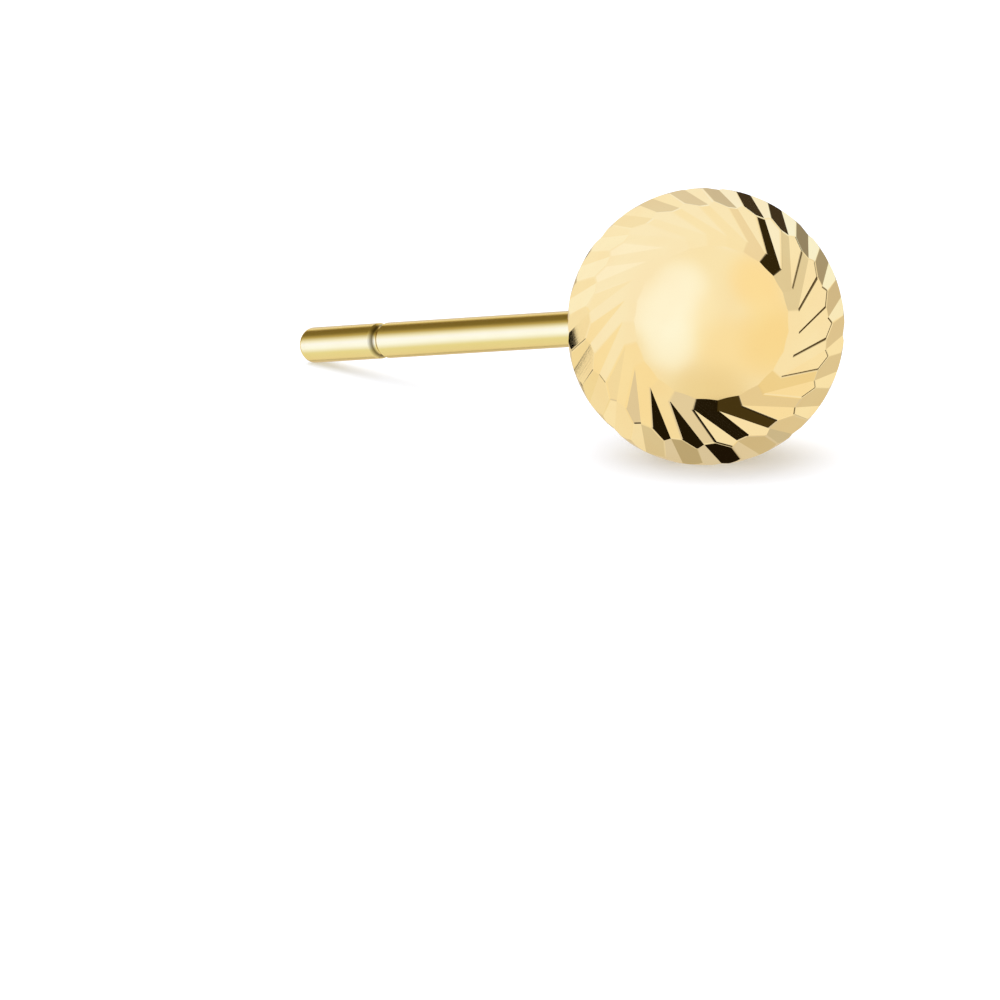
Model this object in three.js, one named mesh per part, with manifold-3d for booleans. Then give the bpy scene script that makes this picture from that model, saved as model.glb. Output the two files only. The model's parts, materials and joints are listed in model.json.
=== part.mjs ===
// Stud earring: a diamond-cut gold ball on a straight ear post, lying on a table as it comes to rest.
// Millimetres and degrees, +Z up. The post runs along -X and slopes down to the table.
import * as THREE from "three";
import { mergeVertices } from "three/addons/utils/BufferGeometryUtils.js";
import Module from "manifold-3d";

// Driving dimensions
const BALL_DIAMETER = 6.0;
const POST_DIAMETER = 0.8;
const POST_LENGTH = 10.5; // from the skin of the ball to the tip
const NOTCH_FROM_TIP = 2.66;
const NOTCH_WIDTH = 0.34;
const NOTCH_DEPTH = 0.08;
const TIP_ROUNDING = 0.2;
const SOLDER_FLARE = 0.22; // reach of the fillet along the post and over the ball
const POST_ROOT_DEPTH = 0.6; // how far the post runs into the ball

// The dome is the uncut front of the ball. Its direction is given with the stud at rest.
const DOME_AZIMUTH = 50.9; // from -Y towards +X
const DOME_ELEVATION = 13.7; // above the table
const POST_SLOPE = 11.25; // below the horizontal, with the tip on the table
const POST_RISE = 0.14; // how far the post's axis passes over the ball's centre

// The swirl: each tier repeats one straight V cut around the dome's axis. A valley runs from its start
// to its end, and both have an azimuth, a polar angle from the dome's axis and a depth below the ball's skin.
// The broad wall rises to the side of growing azimuth, the steep wall to the other side.
const CUTS_PER_TIER = 24;
const FIRST_CUT_AZIMUTH = 23.4;
const SPACING_SWAY = 4.8; // the cuts are indexed by hand, and stand closer on one side than on the other
const SWAY_AZIMUTH = 337;
const CUT_TIERS = [
  {
    start: { azimuth: 0, polar: 37.2, depth: 0.01 },
    end: { azimuth: 35, polar: 63.3, depth: 0.115 },
    broadTilt: 7,
    steepTilt: 23,
  },
  {
    start: { azimuth: 35, polar: 63.3, depth: 0.115 },
    end: { azimuth: 43, polar: 86, depth: 0.05 },
    broadTilt: 5,
    steepTilt: 24.4,
  },
];
const CUTTER_REACH = 1.6; // height of the cutter's walls
const CUTTER_OVERRUN = 1.2; // how far the cutter runs past both ends of a valley

// Behind the swirl is a ring of flats. The stud lies on one of them.
const FLATS = 8;
const FLAT_DEPTH = 0.146;
const FLAT_POLAR = 90 + DOME_ELEVATION;
const LOWEST_FLAT_AZIMUTH = 270;

// Facets of the round surfaces
const BALL_SEGMENTS = 72;
const POST_SEGMENTS = 32;
const ARC_STEPS = 4;
const SMALLEST_EDGE = 0.004;

const BALL_RADIUS = BALL_DIAMETER / 2;
const POST_RADIUS = POST_DIAMETER / 2;
const TIP_DISTANCE = BALL_RADIUS + POST_LENGTH; // from the ball's centre
const { degToRad, radToDeg } = THREE.MathUtils;

const wasm = await Module();
wasm.setup();

// A closed three.js geometry as a solid, placed by a matrix.
function solidFrom(geometry, matrix) {
  const bare = geometry.clone().applyMatrix4(matrix);
  bare.deleteAttribute("normal");
  bare.deleteAttribute("uv");
  const merged = mergeVertices(bare, 1e-5);
  return new wasm.Manifold(
    new wasm.Mesh({
      numProp: 3,
      vertProperties: merged.attributes.position.array,
      triVerts: new Uint32Array(merged.index.array),
    }),
  );
}

function geometryFrom(solid) {
  const mesh = solid.getMesh();
  const geometry = new THREE.BufferGeometry();
  geometry.setAttribute("position", new THREE.BufferAttribute(mesh.vertProperties, 3));
  geometry.setIndex(new THREE.BufferAttribute(mesh.triVerts, 1));
  geometry.computeVertexNormals();
  return geometry;
}

// A point of the ball's own frame, whose +Z is the dome's axis.
function pointOnBall({ azimuth, polar, depth }) {
  const spherical = new THREE.Vector3().setFromSphericalCoords(
    BALL_RADIUS - depth,
    degToRad(polar),
    degToRad(azimuth + 90),
  );
  return new THREE.Vector3(spherical.x, -spherical.z, spherical.y);
}

// One V cut as a triangular prism: the cutter's edge is the valley, its sides are the two walls.
function cutter(tier) {
  const start = pointOnBall(tier.start);
  const end = pointOnBall(tier.end);
  const along = end.clone().sub(start).normalize();
  const up = start.clone().add(end);
  up.addScaledVector(along, -up.dot(along)).normalize();
  const across = up.clone().cross(along);
  const broad = degToRad(tier.broadTilt);
  const steep = degToRad(tier.steepTilt);
  const section = new THREE.Shape([
    new THREE.Vector2(0, 0),
    new THREE.Vector2(CUTTER_REACH * Math.cos(broad), CUTTER_REACH * Math.sin(broad)),
    new THREE.Vector2(-CUTTER_REACH * Math.cos(steep), CUTTER_REACH * Math.sin(steep)),
  ]);
  const geometry = new THREE.ExtrudeGeometry(section, {
    depth: start.distanceTo(end) + 2 * CUTTER_OVERRUN,
    bevelEnabled: false,
  });
  const foot = start.addScaledVector(along, -CUTTER_OVERRUN);
  return geometry.applyMatrix4(new THREE.Matrix4().makeBasis(across, up, along).setPosition(foot));
}

function cutAzimuth(i) {
  const even = FIRST_CUT_AZIMUTH + (360 / CUTS_PER_TIER) * i;
  return even + SPACING_SWAY * Math.cos(degToRad(even - SWAY_AZIMUTH));
}

// The ball in its own frame: a sphere with the tiers of cuts and the flats taken off one after the other.
function diamondCutBall() {
  const sphere = new THREE.SphereGeometry(BALL_RADIUS, BALL_SEGMENTS, BALL_SEGMENTS / 2);
  let ball = solidFrom(sphere, new THREE.Matrix4().makeRotationX(Math.PI / 2));
  for (const tier of CUT_TIERS) {
    const geometry = cutter(tier);
    for (let i = 0; i < CUTS_PER_TIER; i++) {
      const turn = new THREE.Matrix4().makeRotationZ(degToRad(cutAzimuth(i)));
      ball = ball.subtract(solidFrom(geometry, turn));
    }
  }
  for (let i = 0; i < FLATS; i++) {
    const azimuth = LOWEST_FLAT_AZIMUTH + (360 / FLATS) * i;
    const inward = pointOnBall({ azimuth, polar: FLAT_POLAR, depth: 0 }).normalize().negate();
    ball = ball.trimByPlane(inward.toArray(), FLAT_DEPTH - BALL_RADIUS);
  }
  return ball;
}

// A round stretch of the post's profile, from one angle to another.
function arc(centreRadius, centreHeight, radius, fromAngle, toAngle) {
  const points = [];
  for (let i = 0; i <= ARC_STEPS; i++) {
    const angle = degToRad(fromAngle + ((toAngle - fromAngle) * i) / ARC_STEPS);
    points.push(
      new THREE.Vector2(centreRadius + radius * Math.cos(angle), centreHeight + radius * Math.sin(angle)),
    );
  }
  return points;
}

// The post turned about +Y, with the ball's centre at the origin: root, solder fillet, round notch and tip.
function earPost() {
  const notch = TIP_DISTANCE - NOTCH_FROM_TIP;
  const notchRadius = (NOTCH_WIDTH ** 2 / 4 + NOTCH_DEPTH ** 2) / (2 * NOTCH_DEPTH);
  const notchSpread = radToDeg(Math.asin(NOTCH_WIDTH / 2 / notchRadius));
  const notchCentre = POST_RADIUS - NOTCH_DEPTH + notchRadius;
  const profile = [
    new THREE.Vector2(0, BALL_RADIUS - POST_ROOT_DEPTH),
    new THREE.Vector2(POST_RADIUS + SOLDER_FLARE, BALL_RADIUS - POST_ROOT_DEPTH),
    ...arc(POST_RADIUS + SOLDER_FLARE, BALL_RADIUS + SOLDER_FLARE, SOLDER_FLARE, 270, 180),
    ...arc(notchCentre, notch, notchRadius, 180 + notchSpread, 180 - notchSpread),
    ...arc(POST_RADIUS - TIP_ROUNDING, TIP_DISTANCE - TIP_ROUNDING, TIP_ROUNDING, 0, 90),
    new THREE.Vector2(0, TIP_DISTANCE),
  ];
  return new THREE.LatheGeometry(profile, POST_SEGMENTS);
}

// Ball and post are soldered, so they are one solid.
function ballStud() {
  const facing = new THREE.Matrix4().makeRotationFromEuler(
    new THREE.Euler(degToRad(90 - DOME_ELEVATION), 0, degToRad(DOME_AZIMUTH), "ZXY"),
  );
  const lying = new THREE.Matrix4().makeRotationZ(degToRad(90 + POST_SLOPE));
  lying.premultiply(new THREE.Matrix4().makeRotationX(Math.PI / 2));
  lying.setPosition(-POST_RISE * Math.sin(degToRad(POST_SLOPE)), 0, POST_RISE * Math.cos(degToRad(POST_SLOPE)));
  const ball = diamondCutBall().transform(facing.toArray());
  const stud = ball.add(solidFrom(earPost(), lying)).simplify(SMALLEST_EDGE);
  const geometry = geometryFrom(stud);
  geometry.computeBoundingBox();
  const middle = geometry.boundingBox.getCenter(new THREE.Vector3());
  return geometry.translate(-middle.x, -middle.y, -geometry.boundingBox.min.z);
}

const polishedGold = new THREE.MeshStandardMaterial({ color: 0xf0c66c, roughness: 0.12, metalness: 1 });
const stud = new THREE.Mesh(ballStud(), polishedGold);
stud.name = "ball_stud";

const earring = new THREE.Group();
earring.name = "stud_earring";
earring.add(stud);

export default earring;
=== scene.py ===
import json
import math
from typing import NamedTuple

import bmesh
import bpy
from mathutils import Matrix, Vector


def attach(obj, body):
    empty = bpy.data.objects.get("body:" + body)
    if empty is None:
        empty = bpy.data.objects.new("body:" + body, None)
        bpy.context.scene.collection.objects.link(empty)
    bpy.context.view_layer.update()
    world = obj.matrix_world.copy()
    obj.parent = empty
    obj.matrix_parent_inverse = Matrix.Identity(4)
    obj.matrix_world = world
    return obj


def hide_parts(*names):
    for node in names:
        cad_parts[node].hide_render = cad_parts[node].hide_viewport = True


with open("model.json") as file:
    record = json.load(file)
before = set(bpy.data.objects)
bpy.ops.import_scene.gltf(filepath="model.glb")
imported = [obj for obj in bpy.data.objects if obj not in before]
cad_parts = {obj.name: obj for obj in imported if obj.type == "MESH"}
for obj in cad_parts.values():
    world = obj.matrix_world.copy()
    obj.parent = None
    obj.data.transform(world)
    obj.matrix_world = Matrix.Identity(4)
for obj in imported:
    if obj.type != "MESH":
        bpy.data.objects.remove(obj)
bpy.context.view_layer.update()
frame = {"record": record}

bl_info = {
    "name": "Diamond-cut ball stud",
    "version": (1, 0, 0),
    "blender": (4, 5, 0),
    "location": "View3D > Sidebar > Stud",
    "description": "Builds a gold ball stud, its swirl of V cuts and its ear post on a packed CAD frame",
    "category": "Add Mesh",
}

NODE = "ball_stud"
BODY = "root"
MILLIMETRE = 0.001


# The frame: where the post ends and which way it points
TIP_MOUNT = frame["record"]["mounts"][0]
POST_TIP = Vector(TIP_MOUNT["pos_m"])
POST_AXIS = Vector(TIP_MOUNT["axis"]).normalized()
POST_UP = Vector((POST_AXIS.z, 0, -POST_AXIS.x))


class CutEnd(NamedTuple):
    """One end of a valley: degrees round the dome's axis, degrees from it, millimetres under the skin."""

    azimuth: float
    polar: float
    depth: float


class CutTier(NamedTuple):
    """One V cut that is repeated round the dome: its valley and the tilt of its two walls in degrees."""

    name: str
    start: CutEnd
    end: CutEnd
    broad_tilt: float
    steep_tilt: float


CUT_TIERS = (
    CutTier("front", CutEnd(0, 37.2, 0.01), CutEnd(35, 63.3, 0.115), 7, 23),
    CutTier("shoulder", CutEnd(35, 63.3, 0.115), CutEnd(43, 86, 0.05), 5, 24.4),
)
CUTTER_REACH = 1.6  # height of the cutter's walls in millimetres
CUTTER_OVERRUN = 1.2  # how far the cutter runs past both ends of a valley in millimetres


class StudioZone(NamedTuple):
    """A patch of the light tent. Bearing is counter-clockwise from the right as the camera sees it,
    swing is the angle away from the camera, reach and softness are half angles, all in degrees."""

    name: str
    bearing: float
    swing: float
    reach: float
    softness: float
    colour: tuple


WHITE = (1.0, 1.0, 1.0)
TENT_COLOUR = (0.95, 0.97, 1.02)
STUDIO_ZONES = (
    StudioZone("front wall", 160, 24, 14, 30, (0.99, 1.05, 1.16)),
    StudioZone("left wall", 138, 103, 36, 24, (0.96, 1.02, 1.20)),
    StudioZone("light patch on the left", 165, 66, 14, 12, (0.99, 1.08, 1.36)),
    StudioZone("light patch at the top", 76, 83, 7, 8, (0.96, 1.06, 1.35)),
    StudioZone("bright back on the left", 143, 145, 9, 8, (0.98, 1.09, 1.38)),
    StudioZone("warm back on the left", 195, 143, 15, 6, (0.91, 0.91, 0.92)),
    StudioZone("warm foot on the left", 222, 92, 18, 22, (0.95, 0.91, 0.80)),
    StudioZone("warm foot behind on the left", 227, 124, 9, 7, (0.88, 0.86, 0.78)),
    StudioZone("warm card in front", 315, 28, 8, 28, (0.97, 0.95, 0.88)),
    StudioZone("warm card at the foot", 272, 62, 14, 26, (0.87, 0.83, 0.72)),
    StudioZone("warm card on the right", 350, 59, 8, 30, (0.96, 0.89, 0.71)),
    StudioZone("warm card high on the right", 40, 58, 4, 26, (0.98, 0.92, 0.78)),
    StudioZone("warm patch on the right", 309, 112, 8, 8, (0.86, 0.79, 0.60)),
    StudioZone("grey patch on the right", 25, 118, 9, 8, (0.74, 0.75, 0.77)),
    StudioZone("grey patch behind on the right", 330, 134, 5, 6, (0.60, 0.61, 0.66)),
    StudioZone("dim foot in front", 256, 90, 20, 9, (0.73, 0.72, 0.76)),
    StudioZone("dim foot on the right", 296, 131, 15, 11, (0.70, 0.71, 0.82)),
    StudioZone("dim foot behind", 262, 150, 17, 7, (0.50, 0.48, 0.45)),
    StudioZone("dim back on the right", 330, 172, 30, 5, (0.73, 0.71, 0.69)),
    StudioZone("dim top behind", 85, 161, 13, 7, (0.72, 0.74, 0.86)),
    StudioZone("dim corner behind", 40, 162, 10, 9, (0.26, 0.26, 0.27)),
    StudioZone("bright top on the right", 48, 138, 10, 6, (0.95, 1.12, 1.48)),
    StudioZone("bright top in the middle", 75, 136, 8, 6, (0.95, 1.13, 1.62)),
    StudioZone("bright top on the left", 100, 134, 9, 7, (0.95, 1.08, 1.50)),
    StudioZone("top of the tall window", 126, 40, 4, 26, (1.00, 1.13, 1.50)),
    StudioZone("foot of the tall window", 204, 34, 4, 24, (1.00, 1.13, 1.48)),
    StudioZone("middle of the tall window", 165, 34, 6, 26, (1.01, 1.17, 1.60)),
    StudioZone("dim edge of the corner", 52, 119, 12, 6, (0.86, 0.84, 0.86)),
    StudioZone("dark foot", 279, 91, 23.5, 3, (0.014, 0.010, 0.004)),
    StudioZone("brown end of the dark foot", 285, 109, 6, 4, (0.06, 0.045, 0.015)),
    StudioZone("dark foot behind", 267.3, 143.5, 5.5, 3, (0.012, 0.008, 0.004)),
    StudioZone("dark corner", 44, 119, 7.5, 2.5, (0.03, 0.022, 0.008)),
    StudioZone("dark corner behind", 53, 156, 6.5, 2, (0.05, 0.04, 0.03)),
    StudioZone("dark seam low on the right", 343, 99, 11, 2, (0.08, 0.06, 0.03)),
    StudioZone("dark seam on the right", 5, 101, 12, 2, (0.08, 0.06, 0.03)),
    StudioZone("dark seam high on the right", 28, 102, 12, 2, (0.08, 0.06, 0.03)),
    StudioZone("dark seam behind on the left", 200, 132, 5, 2, (0.04, 0.03, 0.02)),
)


# Properties
class BallSettings(bpy.types.PropertyGroup):
    diameter: bpy.props.FloatProperty(
        name="Diameter",
        description="Diameter of the uncut ball",
        default=6 * MILLIMETRE,
        unit="LENGTH",
        precision=5,
    )
    cuts: bpy.props.IntProperty(
        name="Cuts", description="V cuts in each tier of the swirl", default=24, min=6, max=48
    )
    first_cut: bpy.props.FloatProperty(
        name="First cut",
        description="Turn of the swirl about the dome's axis",
        default=math.radians(23.4),
        subtype="ANGLE",
    )
    spacing_sway: bpy.props.FloatProperty(
        name="Spacing sway",
        description="How far the hand-indexed cuts stand off their even spacing",
        default=math.radians(4.8),
        subtype="ANGLE",
    )
    sway_azimuth: bpy.props.FloatProperty(
        name="Sway azimuth",
        description="Where round the dome the cuts stand furthest ahead",
        default=math.radians(337),
        subtype="ANGLE",
    )
    dome_azimuth: bpy.props.FloatProperty(
        name="Dome azimuth",
        description="Direction of the dome over the table, from -Y towards +X",
        default=math.radians(50.9),
        subtype="ANGLE",
    )
    dome_elevation: bpy.props.FloatProperty(
        name="Dome elevation",
        description="Direction of the dome above the table",
        default=math.radians(13.7),
        subtype="ANGLE",
    )
    ridge_width: bpy.props.FloatProperty(
        name="Ridge width",
        description="Width of the worn edge along each ridge",
        default=0.065 * MILLIMETRE,
        unit="LENGTH",
        precision=6,
    )
    flats: bpy.props.IntProperty(
        name="Flats",
        description="Flats behind the swirl, one of which the stud lies on",
        default=8,
        min=3,
        max=24,
    )
    flat_depth: bpy.props.FloatProperty(
        name="Flat depth",
        description="Depth of a flat under the ball's skin",
        default=0.146 * MILLIMETRE,
        unit="LENGTH",
        precision=6,
    )
    segments: bpy.props.IntProperty(
        name="Segments",
        description="Facets round the smooth parts of the ball",
        default=192,
        min=24,
        max=384,
    )


class PostSettings(bpy.types.PropertyGroup):
    diameter: bpy.props.FloatProperty(
        name="Diameter",
        description="Diameter of the ear post",
        default=0.8 * MILLIMETRE,
        unit="LENGTH",
        precision=5,
    )
    length: bpy.props.FloatProperty(
        name="Length",
        description="Length from the ball's skin to the tip",
        default=10.5 * MILLIMETRE,
        unit="LENGTH",
    )
    rise: bpy.props.FloatProperty(
        name="Rise",
        description="How far the post's axis passes over the ball's centre",
        default=0.14 * MILLIMETRE,
        unit="LENGTH",
        precision=5,
    )
    notch_from_tip: bpy.props.FloatProperty(
        name="Notch from tip",
        description="Place of the notch",
        default=2.66 * MILLIMETRE,
        unit="LENGTH",
        precision=5,
    )
    notch_width: bpy.props.FloatProperty(
        name="Notch width",
        description="Width of the notch",
        default=0.34 * MILLIMETRE,
        unit="LENGTH",
        precision=5,
    )
    notch_depth: bpy.props.FloatProperty(
        name="Notch depth",
        description="Depth of the notch",
        default=0.08 * MILLIMETRE,
        unit="LENGTH",
        precision=5,
    )
    tip_rounding: bpy.props.FloatProperty(
        name="Tip rounding",
        description="Radius at the tip",
        default=0.2 * MILLIMETRE,
        unit="LENGTH",
        precision=5,
    )
    solder_flare: bpy.props.FloatProperty(
        name="Solder flare",
        description="Radius of the fillet",
        default=0.22 * MILLIMETRE,
        unit="LENGTH",
        precision=5,
    )
    root_depth: bpy.props.FloatProperty(
        name="Root depth",
        description="How far the post runs into the ball",
        default=0.6 * MILLIMETRE,
        unit="LENGTH",
        precision=5,
    )


class GoldSettings(bpy.types.PropertyGroup):
    ball_colour: bpy.props.FloatVectorProperty(
        name="Ball",
        description="Colour of the ball's gold",
        subtype="COLOR",
        size=3,
        default=(1.0, 0.78, 0.40),
    )
    post_colour: bpy.props.FloatVectorProperty(
        name="Post",
        description="Colour of the post's gold",
        subtype="COLOR",
        size=3,
        default=(0.95, 0.74, 0.31),
    )
    dome_roughness: bpy.props.FloatProperty(
        name="Dome roughness", description="Roughness of the buffed skin", default=0.16, min=0, max=1
    )
    back_roughness: bpy.props.FloatProperty(
        name="Back roughness",
        description="Roughness of the skin behind the swirl",
        default=0.40,
        min=0,
        max=1,
    )
    cut_roughness: bpy.props.FloatProperty(
        name="Cut roughness", description="Roughness of the diamond-cut walls", default=0.05, min=0, max=1
    )


class StudioSettings(bpy.types.PropertyGroup):
    camera_azimuth: bpy.props.FloatProperty(
        name="Camera azimuth",
        description="Place of the camera, from -Y towards +X",
        default=math.radians(47.9),
        subtype="ANGLE",
    )
    camera_elevation: bpy.props.FloatProperty(
        name="Camera elevation",
        description="Height of the camera",
        default=math.radians(11.7),
        subtype="ANGLE",
    )
    camera_distance: bpy.props.FloatProperty(
        name="Camera distance", description="From the ball's centre", default=0.25, unit="LENGTH"
    )
    frame_width: bpy.props.FloatProperty(
        name="Frame width",
        description="Width of the view at the ball",
        default=21.6 * MILLIMETRE,
        unit="LENGTH",
    )
    ball_in_frame: bpy.props.FloatVectorProperty(
        name="Ball in frame",
        description="The ball's centre in the frame, from the left and the top, as shares of its width",
        size=2,
        default=(0.705, 0.326),
    )


# Node trees
class Value:
    """A socket that takes part in Python arithmetic: each operation adds a Math node."""

    def __init__(self, nodes, socket):
        self.nodes = nodes
        self.socket = socket

    def _math(self, operation, first, second):
        return self.nodes.make("ShaderNodeMath", {"operation": operation}, {0: first, 1: second})

    def __add__(self, other):
        return self._math("ADD", self, other)

    __radd__ = __add__

    def __sub__(self, other):
        return self._math("SUBTRACT", self, other)

    def __rsub__(self, other):
        return self._math("SUBTRACT", other, self)

    def __mul__(self, other):
        return self._math("MULTIPLY", self, other)

    __rmul__ = __mul__

    def __truediv__(self, other):
        return self._math("DIVIDE", self, other)

    def cosine(self):
        return self.nodes.make("ShaderNodeMath", {"operation": "COSINE"}, {0: self})


class Nodes:
    """Adds nodes to one tree."""

    def __init__(self, tree):
        self.tree = tree

    def make(self, kind, settings=None, inputs=None, output=0):
        """A node of that type with its settings, then the values or links of its sockets."""
        node = self.tree.nodes.new(kind)
        for name, setting in (settings or {}).items():
            setattr(node, name, setting)
        for key, value in (inputs or {}).items():
            socket = node.inputs[key]
            if isinstance(value, Value):
                self.tree.links.new(value.socket, socket)
            else:
                socket.default_value = value
        return Value(self, node.outputs[output]) if node.outputs else None

    def mix_colour(self, factor, first, second):
        return self.make("ShaderNodeMix", {"data_type": "RGBA"}, {0: factor, 6: first, 7: second}, 2)

    def smooth_step(self, value, low, high):
        return self.make(
            "ShaderNodeMapRange",
            {"interpolation_type": "SMOOTHSTEP"},
            {"Value": value, "From Min": low, "From Max": high},
        )


def opaque(colour):
    """A colour with full alpha."""
    return (*colour, 1.0)


def scaled(colour, shares):
    """A colour with each of its parts scaled."""
    return opaque(part * share for part, share in zip(colour, shares))


# Materials
GRAZING_TINT = (1.0, 0.91, 0.70)  # of the gold where it is seen at a flat angle
CLOUD_EDGES = (0.35, 0.65)  # noise values between which the gold turns from deeper to paler
NOISE_MEAN = 0.5


def gold_material(name, colour, build):
    """A metal whose colour, roughness and normal come from build(nodes, colour)."""
    material = bpy.data.materials.new(name)
    material.use_nodes = True
    material.node_tree.nodes.clear()
    nodes = Nodes(material.node_tree)
    base_colour, roughness, normal = build(nodes, colour)
    shader = nodes.make(
        "ShaderNodeBsdfPrincipled",
        {},
        {
            "Base Color": base_colour,
            "Metallic": 1.0,
            "Roughness": roughness,
            "Specular Tint": opaque(GRAZING_TINT),
            "Normal": normal,
        },
    )
    nodes.make("ShaderNodeOutputMaterial", {}, {"Surface": shader})
    return material


def object_millimetres(nodes):
    """Object coordinates in millimetres."""
    place = nodes.make("ShaderNodeTexCoord", output="Object")
    return nodes.make("ShaderNodeVectorMath", {"operation": "SCALE"}, {0: place, "Scale": 1 / MILLIMETRE})


BALL_PALER = (1.0, 1.016, 1.022)
BALL_DEEPER = (0.995, 0.985, 0.965)
HAIRLINE_ROUGHNESS = 0.05
HAIRLINE_HEIGHT = 0.15
TOOL_ROUGHNESS = 0.04


def diamond_cut_gold(nodes, colour):
    """Buffed skin with faint hairlines, satin at the back, and bright cut walls with the tool's lines."""
    settings = bpy.context.scene.stud_gold
    place = object_millimetres(nodes)
    cut = nodes.make("ShaderNodeAttribute", {"attribute_name": "cut"}, output="Fac")
    across = nodes.make("ShaderNodeAttribute", {"attribute_name": "across"}, output="Fac")
    behind = nodes.make("ShaderNodeAttribute", {"attribute_name": "behind"}, output="Fac")
    cloud = nodes.make("ShaderNodeTexNoise", {}, {"Vector": place, "Scale": 0.7, "Detail": 2.0})
    hairline = nodes.make(
        "ShaderNodeTexNoise", {}, {"Vector": place, "Scale": 24.0, "Detail": 4.0, "Roughness": 0.65}
    )
    tool = nodes.make(
        "ShaderNodeTexNoise", {"noise_dimensions": "1D"}, {"W": across, "Scale": 26.0, "Detail": 3.0}
    )
    cloudy = nodes.smooth_step(cloud, *CLOUD_EDGES)
    base_colour = nodes.mix_colour(cloudy, scaled(colour, BALL_DEEPER), scaled(colour, BALL_PALER))
    satin = settings.back_roughness - settings.dome_roughness
    skin = settings.dome_roughness + satin * behind + HAIRLINE_ROUGHNESS * (hairline - NOISE_MEAN)
    wall = settings.cut_roughness + TOOL_ROUGHNESS * (tool - NOISE_MEAN)
    roughness = skin * (1 - cut) + wall * cut
    height = hairline * (1 - cut) * HAIRLINE_HEIGHT + tool * cut
    normal = nodes.make(
        "ShaderNodeBump", {}, {"Strength": 0.12, "Distance": 0.002 * MILLIMETRE, "Height": height}, "Normal"
    )
    return base_colour, roughness, normal


# Painted shade: the dark colour laid along the notch's wall
NOTCH_PAINTED_SHADE = (0.12, 0.075, 0.012)
POST_DEEPER = (0.99, 0.975, 0.94)
POST_ROUGHNESS = 0.14
STREAK_ROUGHNESS = 0.10
STREAK_STRETCH = (0.25, 9.0, 9.0)  # along and across the post


def drawn_gold(nodes, colour):
    """Drawn wire: fine streaks along the post, and painted shade: a dark line along the notch's wall."""
    place = object_millimetres(nodes)
    slope = math.atan2(POST_AXIS.z, POST_AXIS.x)
    along = nodes.make(
        "ShaderNodeMapping", {"vector_type": "POINT"}, {"Vector": place, "Rotation": (0, slope, 0)}
    )
    stretched = nodes.make("ShaderNodeVectorMath", {"operation": "MULTIPLY"}, {0: along, 1: STREAK_STRETCH})
    streak = nodes.make("ShaderNodeTexNoise", {}, {"Vector": stretched, "Scale": 2.0, "Detail": 4.0})
    cloud = nodes.make("ShaderNodeTexNoise", {}, {"Vector": place, "Scale": 0.5, "Detail": 2.0})
    cloudy = nodes.smooth_step(cloud, *CLOUD_EDGES)
    unshaded_gold = nodes.mix_colour(cloudy, scaled(colour, POST_DEEPER), opaque(colour))
    groove = nodes.make("ShaderNodeAttribute", {"attribute_name": "groove"}, output="Fac")
    # Painted shade: the gold darkens towards this dark colour along a line on the notch's wall
    base_colour = nodes.mix_colour(groove, unshaded_gold, opaque(NOTCH_PAINTED_SHADE))
    roughness = POST_ROUGHNESS + STREAK_ROUGHNESS * streak
    normal = nodes.make(
        "ShaderNodeBump", {}, {"Strength": 0.15, "Distance": 0.003 * MILLIMETRE, "Height": streak}, "Normal"
    )
    return base_colour, roughness, normal


# Places in millimetres and in the frame
def ball_centre(post, ball):
    """The ball's centre in the frame, found back from the tip of the post."""
    reach = ball.diameter / 2 + post.length
    return POST_TIP - POST_AXIS * reach - POST_UP * post.rise


def view_basis(azimuth, elevation):
    """Right, up and towards the viewer, for a direction above the table."""
    back = Vector(
        (
            math.sin(azimuth) * math.cos(elevation),
            -math.cos(azimuth) * math.cos(elevation),
            math.sin(elevation),
        )
    )
    right = Vector((math.cos(azimuth), math.sin(azimuth), 0))
    return right, back.cross(right), back


def basis_matrix(x_axis, y_axis, z_axis, origin, scale):
    """Takes millimetres along three axes into the frame."""
    turn = Matrix((x_axis, y_axis, z_axis)).transposed().to_4x4()
    return Matrix.Translation(origin) @ turn @ Matrix.Scale(scale, 4)


def point_on_ball(radius, end):
    """A point of the ball's own frame, whose +Z is the dome's axis."""
    azimuth, polar = math.radians(end.azimuth), math.radians(end.polar)
    direction = Vector(
        (math.sin(polar) * math.cos(azimuth), math.sin(polar) * math.sin(azimuth), math.cos(polar))
    )
    return direction * (radius - end.depth)


# The ball
def cutter_object(tier, radius):
    """The V tool of one tier as a prism: its edge is the valley and its sides are the walls."""
    start, end = point_on_ball(radius, tier.start), point_on_ball(radius, tier.end)
    along = (end - start).normalized()
    up = start + end
    up = (up - along * up.dot(along)).normalized()
    across = up.cross(along)
    broad, steep = math.radians(tier.broad_tilt), math.radians(tier.steep_tilt)
    sides = (
        Vector(),
        (across * math.cos(broad) + up * math.sin(broad)) * CUTTER_REACH,
        (-across * math.cos(steep) + up * math.sin(steep)) * CUTTER_REACH,
    )
    near = [start - along * CUTTER_OVERRUN + side for side in sides]
    far = [end + along * CUTTER_OVERRUN + side for side in sides]
    faces = [(2, 1, 0), (3, 4, 5), (0, 1, 4, 3), (1, 2, 5, 4), (2, 0, 3, 5)]
    mesh = bpy.data.meshes.new(tier.name + "_cutter")
    mesh.from_pydata(near + far, [], faces)
    return bpy.data.objects.new(mesh.name, mesh)


LOWEST_AZIMUTH = 270
FLAT_REACH = 1.5  # half width and height of the flat's cutter in millimetres


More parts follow.
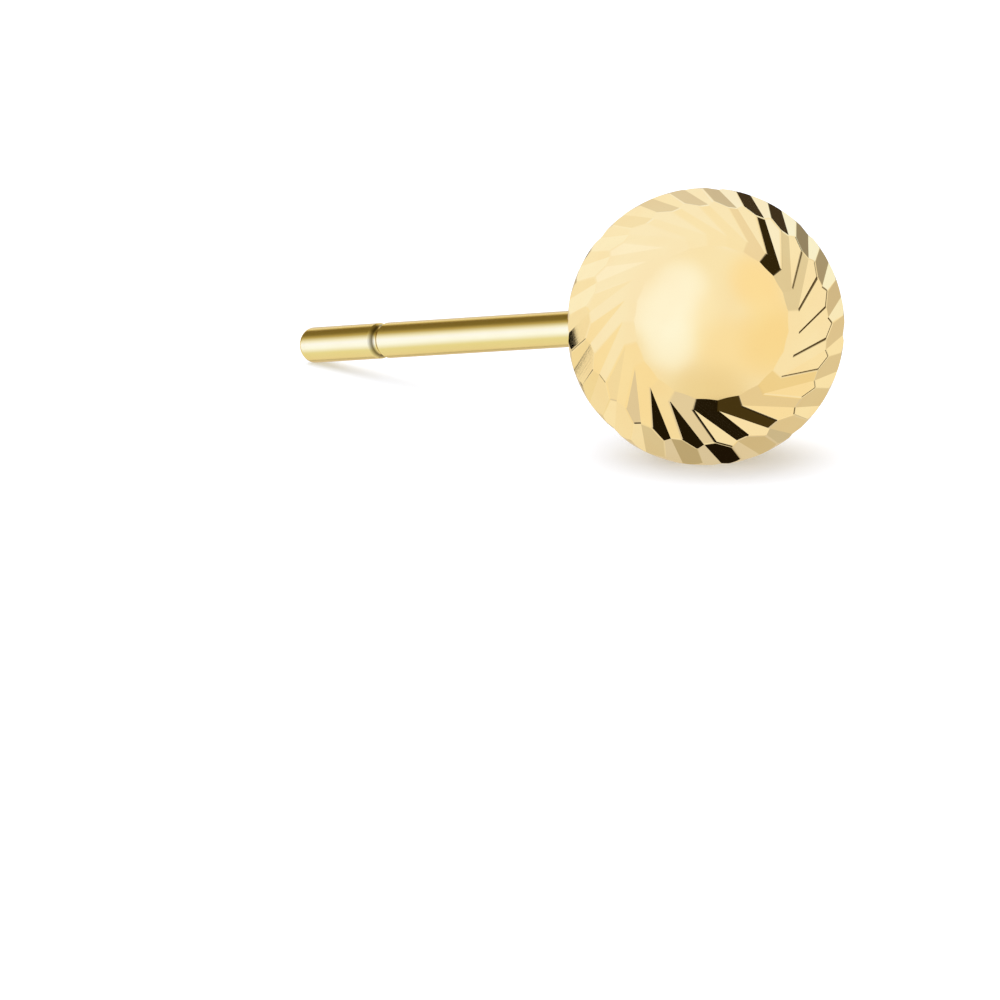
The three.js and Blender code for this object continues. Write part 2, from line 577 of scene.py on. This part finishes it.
def flat_cutter_object(ball, radius):
    """The tool that takes the lowest flat off, as a block outside it."""
    polar = 90 + math.degrees(ball.dome_elevation)
    depth = ball.flat_depth / MILLIMETRE
    foot = point_on_ball(radius, CutEnd(LOWEST_AZIMUTH, polar, depth))
    up = foot.normalized()
    across = Vector((0, 0, 1)).cross(up).normalized() * FLAT_REACH
    along = up.cross(across)
    ring = (across + along, along - across, -across - along, across - along)
    corners = [foot + side for side in ring] + [foot + up * FLAT_REACH + side for side in ring]
    faces = [(3, 2, 1, 0), (4, 5, 6, 7)] + [(i, (i + 1) % 4, (i + 1) % 4 + 4, i + 4) for i in range(4)]
    mesh = bpy.data.meshes.new("flat_cutter")
    mesh.from_pydata(corners, [], faces)
    return bpy.data.objects.new(mesh.name, mesh)


def swirl_tree(material):
    """Geometry Nodes: a ball, less one ring of V cuts for each tier and the ring of flats."""
    tree = bpy.data.node_groups.new("diamond_cut_swirl", "GeometryNodeTree")
    tree.interface.new_socket("Geometry", in_out="OUTPUT", socket_type="NodeSocketGeometry")
    tree.interface.new_socket("Radius", in_out="INPUT", socket_type="NodeSocketFloat")
    tree.interface.new_socket("Segments", in_out="INPUT", socket_type="NodeSocketInt")
    tree.interface.new_socket("Cuts", in_out="INPUT", socket_type="NodeSocketInt")
    for angle in ("First cut", "Spacing sway", "Sway azimuth"):
        tree.interface.new_socket(angle, in_out="INPUT", socket_type="NodeSocketFloat")
    tree.interface.new_socket("Flats", in_out="INPUT", socket_type="NodeSocketInt")
    tree.interface.new_socket("flat cutter", in_out="INPUT", socket_type="NodeSocketObject")
    for tier in CUT_TIERS:
        tree.interface.new_socket(tier.name + " cutter", in_out="INPUT", socket_type="NodeSocketObject")
    nodes = Nodes(tree)
    group = tree.nodes.new("NodeGroupInput")

    def given(name):
        return Value(nodes, group.outputs[name])

    ball = nodes.make(
        "GeometryNodeMeshUVSphere",
        {},
        {"Segments": given("Segments"), "Rings": given("Segments") / 2, "Radius": given("Radius")},
    )
    index = nodes.make("GeometryNodeInputIndex")
    even = index * (2 * math.pi) / given("Cuts") + given("First cut")
    swayed = even + given("Spacing sway") * (even - given("Sway azimuth")).cosine()
    rings = [(tier.name + " cutter", "Cuts", swayed) for tier in CUT_TIERS]
    rings.append(("flat cutter", "Flats", index * (2 * math.pi) / given("Flats")))
    for tool, count, turn in rings:
        cutter = nodes.make("GeometryNodeObjectInfo", {}, {"Object": given(tool)}, "Geometry")
        points = nodes.make("GeometryNodePoints", {}, {"Count": given(count)})
        rotation = nodes.make("ShaderNodeCombineXYZ", {}, {"Z": turn})
        cutters = nodes.make(
            "GeometryNodeInstanceOnPoints", {}, {"Points": points, "Instance": cutter, "Rotation": rotation}
        )
        ball = nodes.make(
            "GeometryNodeMeshBoolean",
            {"operation": "DIFFERENCE", "solver": "MANIFOLD"},
            {"Mesh 1": ball, "Mesh 2": cutters},
        )
    solid = nodes.make("GeometryNodeRealizeInstances", {}, {"Geometry": ball})
    finished = nodes.make("GeometryNodeSetMaterial", {}, {"Geometry": solid, "Material": material})
    nodes.make("NodeGroupOutput", {}, {"Geometry": finished})
    return tree


def evaluated_mesh(holder, name):
    """The mesh that an object's modifiers make, as a plain mesh of its own."""
    depsgraph = bpy.context.evaluated_depsgraph_get()
    mesh = bpy.data.meshes.new_from_object(holder.evaluated_get(depsgraph), depsgraph=depsgraph)
    mesh.name = name
    return mesh


def cut_ball_mesh(ball, material):
    """Runs the swirl tree on a holder object, in millimetres and in the ball's own frame."""
    radius = ball.diameter / 2 / MILLIMETRE
    tree = swirl_tree(material)
    holder = bpy.data.objects.new("swirl_holder", bpy.data.meshes.new("swirl_holder"))
    bpy.context.scene.collection.objects.link(holder)
    cutters = {tier.name + " cutter": cutter_object(tier, radius) for tier in CUT_TIERS}
    cutters["flat cutter"] = flat_cutter_object(ball, radius)
    given = {
        "Radius": radius,
        "Segments": ball.segments,
        "Cuts": ball.cuts,
        "First cut": ball.first_cut,
        "Spacing sway": ball.spacing_sway,
        "Sway azimuth": ball.sway_azimuth,
        "Flats": ball.flats,
        **cutters,
    }
    modifier = holder.modifiers.new("swirl", "NODES")
    modifier.node_group = tree
    for socket in tree.interface.items_tree:
        if socket.in_out == "INPUT":
            modifier[socket.identifier] = given[socket.name]
    mesh = evaluated_mesh(holder, "diamond_cut_ball")
    bpy.data.objects.remove(holder)
    for cutter in cutters.values():
        bpy.data.objects.remove(cutter)
    return mesh


# Lengths in the ball's and the post's meshes are in millimetres until they are placed in the frame
SAME_PLANE = math.radians(0.4)
SKIN_TOLERANCE = 0.004
SKIN_TILT = math.radians(2.5)
RIDGE_ANGLE = math.radians(6)
SHORTEST_RIDGE = 0.06
RIDGE_STEPS = 3


def on_skin(face, radius):
    """Whether a face is part of the round skin: its corners are on the ball and it looks straight out."""
    if any(abs(vert.co.length - radius) > SKIN_TOLERANCE for vert in face.verts):
        return False
    return face.normal.angle(face.calc_center_median()) < SKIN_TILT


def join_walls(bm, radius):
    """Makes each cut wall one flat face again."""
    inner = []
    for edge in bm.edges:
        if len(edge.link_faces) == 2 and edge.calc_face_angle(0) < SAME_PLANE:
            if not any(on_skin(face, radius) for face in edge.link_faces):
                inner.append(edge)
    bmesh.ops.dissolve_edges(bm, edges=inner, use_verts=True, use_face_split=False)


def wear_ridges(bm, radius, width):
    """Rounds the ridges between two cut walls. Returns the rounding's faces."""
    ridges = [
        edge
        for edge in bm.edges
        if len(edge.link_faces) == 2
        and edge.calc_length() > SHORTEST_RIDGE
        and edge.calc_face_angle_signed(0) > RIDGE_ANGLE
        and not any(on_skin(face, radius) for face in edge.link_faces)
    ]
    made = bmesh.ops.bevel(
        bm,
        geom=ridges,
        offset=width / 2,
        offset_type="OFFSET",
        segments=RIDGE_STEPS,
        profile=0.5,
        affect="EDGES",
        clamp_overlap=False,
    )
    return made["faces"]


SATIN_BLEND = 0.35  # how far behind the widest part the skin turns satin, as a share of the radius
SMALLEST_EDGE = 0.0005


def wall_normal(vert, worn):
    """The normal of the largest wall at a point of a worn ridge, or the point's own."""
    walls = [face for face in vert.link_faces if face not in worn]
    return max(walls, key=lambda face: face.calc_area()).normal if walls else vert.normal


def diamond_cut_ball(ball, material):
    """The ball as one mesh with flat walls, worn ridges and a round skin."""
    radius = ball.diameter / 2 / MILLIMETRE
    mesh = cut_ball_mesh(ball, material)
    bm = bmesh.new()
    bm.from_mesh(mesh)
    bmesh.ops.remove_doubles(bm, verts=bm.verts, dist=SMALLEST_EDGE)
    join_walls(bm, radius)
    bm.normal_update()
    wear = bm.faces.layers.int.new("wear")
    for face in wear_ridges(bm, radius, ball.ridge_width / MILLIMETRE):
        face[wear] = 1
    bmesh.ops.dissolve_degenerate(bm, edges=bm.edges, dist=SMALLEST_EDGE)
    worn = {face for face in bm.faces if face[wear]}
    bm.normal_update()
    behind = bm.verts.layers.float.new("behind")
    for vert in bm.verts:
        vert[behind] = min(1.0, max(0.0, -vert.co.z / (SATIN_BLEND * radius)))
    cut = bm.faces.layers.float.new("cut")
    across = bm.loops.layers.float.new("across")
    normals = []
    for face in bm.faces:
        face.smooth = True
        skin = face not in worn and on_skin(face, radius)
        face[cut] = 0.0 if skin else 1.0
        longest = max(face.edges, key=lambda edge: edge.calc_length())
        run = (longest.verts[1].co - longest.verts[0].co).normalized()
        side = face.normal.cross(run)
        for loop in face.loops:
            loop[across] = loop.vert.co.dot(side)
            if skin:
                normals.append(loop.vert.co.normalized())
            elif face in worn:
                normals.append(wall_normal(loop.vert, worn).copy())
            else:
                normals.append(face.normal.copy())
    bm.to_mesh(mesh)
    bm.free()
    mesh.normals_split_custom_set([tuple(normal) for normal in normals])
    return mesh


# The post
ARC_STEPS = 10
POST_SEGMENTS = 96
SHARP_ANGLE = math.radians(25)


def arc(centre_radius, centre_height, radius, first, last):
    """A round stretch of a turned profile as (radius, height) pairs."""
    points = []
    for step in range(ARC_STEPS + 1):
        angle = math.radians(first + (last - first) * step / ARC_STEPS)
        points.append((centre_radius + radius * math.cos(angle), centre_height + radius * math.sin(angle)))
    return points


def post_profile(ball, post):
    """The post's outline from its root in the ball to its tip, in millimetres from the ball's centre."""
    skin = ball.diameter / 2 / MILLIMETRE
    radius = post.diameter / 2 / MILLIMETRE
    tip = skin + post.length / MILLIMETRE
    notch = tip - post.notch_from_tip / MILLIMETRE
    half_width = post.notch_width / 2 / MILLIMETRE
    depth = post.notch_depth / MILLIMETRE
    hollow = (half_width**2 + depth**2) / (2 * depth)
    spread = math.degrees(math.asin(half_width / hollow))
    flare = post.solder_flare / MILLIMETRE
    rounding = post.tip_rounding / MILLIMETRE
    root = skin - post.root_depth / MILLIMETRE
    return [
        (radius + flare, root),
        *arc(radius + flare, skin + flare, flare, 270, 180),
        *arc(radius - depth + hollow, notch, hollow, 180 + spread, 180 - spread),
        *arc(radius - rounding, tip - rounding, rounding, 0, 90),
    ]


def turned_mesh(name, profile, segments):
    """A closed solid of revolution about +Z from (radius, height) pairs."""
    bm = bmesh.new()
    rings = []
    for radius, height in profile:
        ring = []
        for i in range(segments):
            angle = 2 * math.pi * i / segments
            ring.append(bm.verts.new((radius * math.cos(angle), radius * math.sin(angle), height)))
        rings.append(ring)
    for low, high in zip(rings, rings[1:]):
        for i in range(segments):
            j = (i + 1) % segments
            bm.faces.new((low[i], low[j], high[j], high[i]))
    bm.faces.new(list(reversed(rings[0])))
    bm.faces.new(rings[-1])
    bmesh.ops.recalc_face_normals(bm, faces=bm.faces)
    for face in bm.faces:
        face.smooth = True
    mesh = bpy.data.meshes.new(name)
    bm.to_mesh(mesh)
    bm.free()
    mesh.set_sharp_from_angle(angle=SHARP_ANGLE)
    return mesh


def paint_notch_shade(mesh, ball, post):
    """Stores how much painted shade each point of the post gets: a dark line along the notch's wall towards
    the tip.
    """
    tip = (ball.diameter / 2 + post.length) / MILLIMETRE
    reach = post.notch_width / 4 / MILLIMETRE
    wall = tip - post.notch_from_tip / MILLIMETRE + reach
    # Painted shade: 1 on a line along the notch's wall, falling to 0 a quarter of the notch's width away
    groove = mesh.attributes.new("groove", "FLOAT", "POINT")
    for point, vertex in zip(groove.data, mesh.vertices):
        point.value = max(0.0, 1 - abs(vertex.co.z - wall) / reach)


def finished_piece(name, mesh, material):
    """Puts a mesh into the scene as a piece of the stud that stands for the CAD node."""
    mesh.materials.clear()
    mesh.materials.append(material)
    piece = bpy.data.objects.new(name, mesh)
    bpy.context.scene.collection.objects.link(piece)
    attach(piece, BODY)
    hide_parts(NODE)
    return piece


# The studio
def zone_direction(zone, axes):
    """The middle of a zone as a direction in the frame."""
    bearing, swing = math.radians(zone.bearing), math.radians(zone.swing)
    right, up, back = axes
    sideways = right * math.cos(bearing) + up * math.sin(bearing)
    return sideways * math.sin(swing) + back * math.cos(swing)


def light_tent(studio):
    """The world: a pale tent with brighter, warmer and dark patches, and plain white behind the scene."""
    world = bpy.data.worlds.new("light_tent")
    bpy.context.scene.world = world
    world.use_nodes = True
    world.node_tree.nodes.clear()
    nodes = Nodes(world.node_tree)
    direction = nodes.make("ShaderNodeTexCoord", output="Generated")
    axes = view_basis(studio.camera_azimuth, studio.camera_elevation)
    tent = opaque(TENT_COLOUR)
    for zone in STUDIO_ZONES:
        facing = nodes.make(
            "ShaderNodeVectorMath",
            {"operation": "DOT_PRODUCT"},
            {0: direction, 1: tuple(zone_direction(zone, axes))},
            "Value",
        )
        outer = math.cos(math.radians(zone.reach + zone.softness))
        inner = math.cos(math.radians(max(0, zone.reach - zone.softness)))
        mask = nodes.smooth_step(facing, outer, inner)
        tent = nodes.mix_colour(mask, tent, opaque(zone.colour))
    seen = nodes.make("ShaderNodeLightPath", output="Is Camera Ray")
    colour = nodes.mix_colour(seen, tent, opaque(WHITE))
    background = nodes.make("ShaderNodeBackground", {}, {"Color": colour})
    nodes.make("ShaderNodeOutputWorld", {}, {"Surface": background})


FLOOR_REACH = 1.0
FLOOR_GREY = (0.70, 0.70, 0.70)
FLOOR_GLOW = 0.32
FLOOR_ROUGHNESS = 0.9


def pale_floor():
    """A large pale floor under the stud, which the gold doesn't mirror."""
    mesh = bpy.data.meshes.new("floor")
    signs = ((-1, -1), (1, -1), (1, 1), (-1, 1))
    mesh.from_pydata([(x * FLOOR_REACH, y * FLOOR_REACH, 0) for x, y in signs], [], [(0, 1, 2, 3)])
    material = bpy.data.materials.new("pale_floor")
    material.use_nodes = True
    shader = material.node_tree.nodes["Principled BSDF"]
    shader.inputs["Base Color"].default_value = opaque(FLOOR_GREY)
    shader.inputs["Emission Color"].default_value = opaque(WHITE)
    shader.inputs["Emission Strength"].default_value = FLOOR_GLOW
    shader.inputs["Roughness"].default_value = FLOOR_ROUGHNESS
    shader.inputs["Specular IOR Level"].default_value = 0.0
    mesh.materials.append(material)
    floor = bpy.data.objects.new("floor", mesh)
    bpy.context.scene.collection.objects.link(floor)
    floor.visible_glossy = False


class CardStop(NamedTuple):
    """A line along the card that curls round the post: degrees up from its near side, and its light."""

    angle: float
    light: tuple


CARD_STOPS = (
    CardStop(-110, (0.85, 0.85, 0.85)),
    CardStop(-50, (0.85, 0.92, 0.85)),
    CardStop(-20, (1.05, 1.3, 2.4)),
    CardStop(6, (1.05, 1.3, 2.7)),
    CardStop(22, (0.95, 1.1, 1.6)),
    CardStop(44, (0.52, 0.46, 0.22)),
    CardStop(62, (0.2, 0.16, 0.04)),
    CardStop(98, (0.16, 0.12, 0.03)),
    CardStop(116, (0.95, 0.85, 0.55)),
)
CARD_RADIUS = 2.2 * MILLIMETRE
CARD_START = 5 * MILLIMETRE  # along the post from the ball's centre
CARD_END = 22 * MILLIMETRE


def lit_by_card():
    """The collection of the pieces that take light from the card."""
    name = "lit_by_post_card"
    return bpy.data.collections.get(name) or bpy.data.collections.new(name)


def post_card(root, back):
    """A card that curls round the post, bright beside it and dark above it, and lights the post alone."""
    facing = (back - POST_AXIS * back.dot(POST_AXIS)).normalized()
    over = POST_AXIS.cross(facing)
    over = over if over.z > 0 else -over
    corners, lights = [], []
    for stop in CARD_STOPS:
        angle = math.radians(stop.angle)
        line = root + (facing * math.cos(angle) + over * math.sin(angle)) * CARD_RADIUS
        corners += [line + POST_AXIS * CARD_START, line + POST_AXIS * CARD_END]
        lights += [opaque(stop.light)] * 2
    faces = [(2 * i, 2 * i + 1, 2 * i + 3, 2 * i + 2) for i in range(len(CARD_STOPS) - 1)]
    mesh = bpy.data.meshes.new("post_card")
    mesh.from_pydata(corners, [], faces)
    shine = mesh.attributes.new("shine", "FLOAT_COLOR", "POINT")
    for place, light in zip(shine.data, lights):
        place.color = light
    material = bpy.data.materials.new("post_card")
    material.use_nodes = True
    material.node_tree.nodes.clear()
    nodes = Nodes(material.node_tree)
    light = nodes.make("ShaderNodeAttribute", {"attribute_name": "shine"}, output="Color")
    shader = nodes.make("ShaderNodeEmission", {}, {"Color": light})
    nodes.make("ShaderNodeOutputMaterial", {}, {"Surface": shader})
    mesh.materials.append(material)
    card = bpy.data.objects.new("post_card", mesh)
    bpy.context.scene.collection.objects.link(card)
    card.visible_camera = False
    card.visible_diffuse = False
    card.visible_shadow = False
    card.light_linking.receiver_collection = lit_by_card()


# The key light's sizes in metres and its power in watts
KEY_SIZE = 0.6
KEY_POWER = 0.9
KEY_HEIGHT = 0.30
KEY_BEHIND = 0.10
KEY_LEFT = 0.03


def key_light(target, axes):
    """A wide soft light over and behind the stud, which the gold doesn't mirror."""
    right, _, back = axes
    data = bpy.data.lights.new("key_light", "AREA")
    data.shape = "DISK"
    data.size = KEY_SIZE
    data.energy = KEY_POWER
    light = bpy.data.objects.new("key_light", data)
    light.location = target + Vector((0, 0, KEY_HEIGHT)) - back * KEY_BEHIND - right * KEY_LEFT
    light.rotation_euler = (target - light.location).to_track_quat("-Z", "Y").to_euler()
    bpy.context.scene.collection.objects.link(light)
    light.visible_glossy = False


SENSOR_WIDTH = 36.0
CLIP_START = 0.01
CLIP_END = 10.0
FRAME_MIDDLE = 0.5


def photo_camera(studio, target, axes):
    """A long lens at the viewing angle, aimed so that the ball stands at its place in the frame."""
    right, up, back = axes
    data = bpy.data.cameras.new("camera")
    data.sensor_width = SENSOR_WIDTH
    data.lens = SENSOR_WIDTH * studio.camera_distance / studio.frame_width
    data.clip_start = CLIP_START
    data.clip_end = CLIP_END
    camera = bpy.data.objects.new("camera", data)
    across = (studio.ball_in_frame[0] - FRAME_MIDDLE) * studio.frame_width
    down = (studio.ball_in_frame[1] - FRAME_MIDDLE) * studio.frame_width
    camera.location = target + back * studio.camera_distance
    aim = target - right * across + up * down
    camera.rotation_euler = (aim - camera.location).to_track_quat("-Z", "Y").to_euler()
    bpy.context.scene.collection.objects.link(camera)
    bpy.context.scene.camera = camera


# Operators
class STUD_OT_ball(bpy.types.Operator):
    """Build the diamond-cut ball"""

    bl_idname = "stud.ball"
    bl_label = "Diamond-cut ball"

    def execute(self, context):
        ball, post, gold = context.scene.stud_ball, context.scene.stud_post, context.scene.stud_gold
        material = gold_material("diamond_cut_gold", tuple(gold.ball_colour), diamond_cut_gold)
        mesh = diamond_cut_ball(ball, material)
        axes = view_basis(ball.dome_azimuth, ball.dome_elevation)
        mesh.transform(basis_matrix(*axes, ball_centre(post, ball), MILLIMETRE))
        finished_piece("diamond_cut_ball", mesh, material)
        return {"FINISHED"}


class STUD_OT_post(bpy.types.Operator):
    """Build the ear post with its notch, tip and solder fillet"""

    bl_idname = "stud.post"
    bl_label = "Ear post"

    def execute(self, context):
        ball, post, gold = context.scene.stud_ball, context.scene.stud_post, context.scene.stud_gold
        material = gold_material("drawn_gold", tuple(gold.post_colour), drawn_gold)
        mesh = turned_mesh("ear_post", post_profile(ball, post), POST_SEGMENTS)
        # Painted shade along the notch's wall
        paint_notch_shade(mesh, ball, post)
        side = POST_UP.cross(POST_AXIS)
        root = ball_centre(post, ball) + POST_UP * post.rise
        mesh.transform(basis_matrix(side, POST_AXIS.cross(side), POST_AXIS, root, MILLIMETRE))
        piece = finished_piece("ear_post", mesh, material)
        lit_by_card().objects.link(piece)
        return {"FINISHED"}


class STUD_OT_studio(bpy.types.Operator):
    """Set up the light tent, the floor, the post's card, the key light and the camera"""

    bl_idname = "stud.studio"
    bl_label = "Studio"

    def execute(self, context):
        studio = context.scene.stud_studio
        target = ball_centre(context.scene.stud_post, context.scene.stud_ball)
        axes = view_basis(studio.camera_azimuth, studio.camera_elevation)
        light_tent(studio)
        pale_floor()
        post_card(target + POST_UP * context.scene.stud_post.rise, axes[2])
        key_light(target, axes)
        photo_camera(studio, target, axes)
        context.scene.view_settings.view_transform = "Standard"
        return {"FINISHED"}


class STUD_PT_panel(bpy.types.Panel):
    """Lists the steps that build the stud"""

    bl_idname = "STUD_PT_panel"
    bl_label = "Ball stud"
    bl_space_type = "VIEW_3D"
    bl_region_type = "UI"
    bl_category = "Stud"

    def draw(self, context):
        for operator in OPERATORS:
            self.layout.operator(operator.bl_idname)


SETTINGS = {
    "stud_ball": BallSettings,
    "stud_post": PostSettings,
    "stud_gold": GoldSettings,
    "stud_studio": StudioSettings,
}
OPERATORS = (STUD_OT_studio, STUD_OT_ball, STUD_OT_post)
CLASSES = (*SETTINGS.values(), *OPERATORS, STUD_PT_panel)


def register():
    for cls in CLASSES:
        bpy.utils.register_class(cls)
    for name, settings in SETTINGS.items():
        setattr(bpy.types.Scene, name, bpy.props.PointerProperty(type=settings))


def unregister():
    for name in SETTINGS:
        delattr(bpy.types.Scene, name)
    for cls in reversed(CLASSES):
        bpy.utils.unregister_class(cls)


def main():
    register()
    bpy.ops.stud.studio()
    bpy.ops.stud.ball()
    bpy.ops.stud.post()


if __name__ == "__main__":
    main()
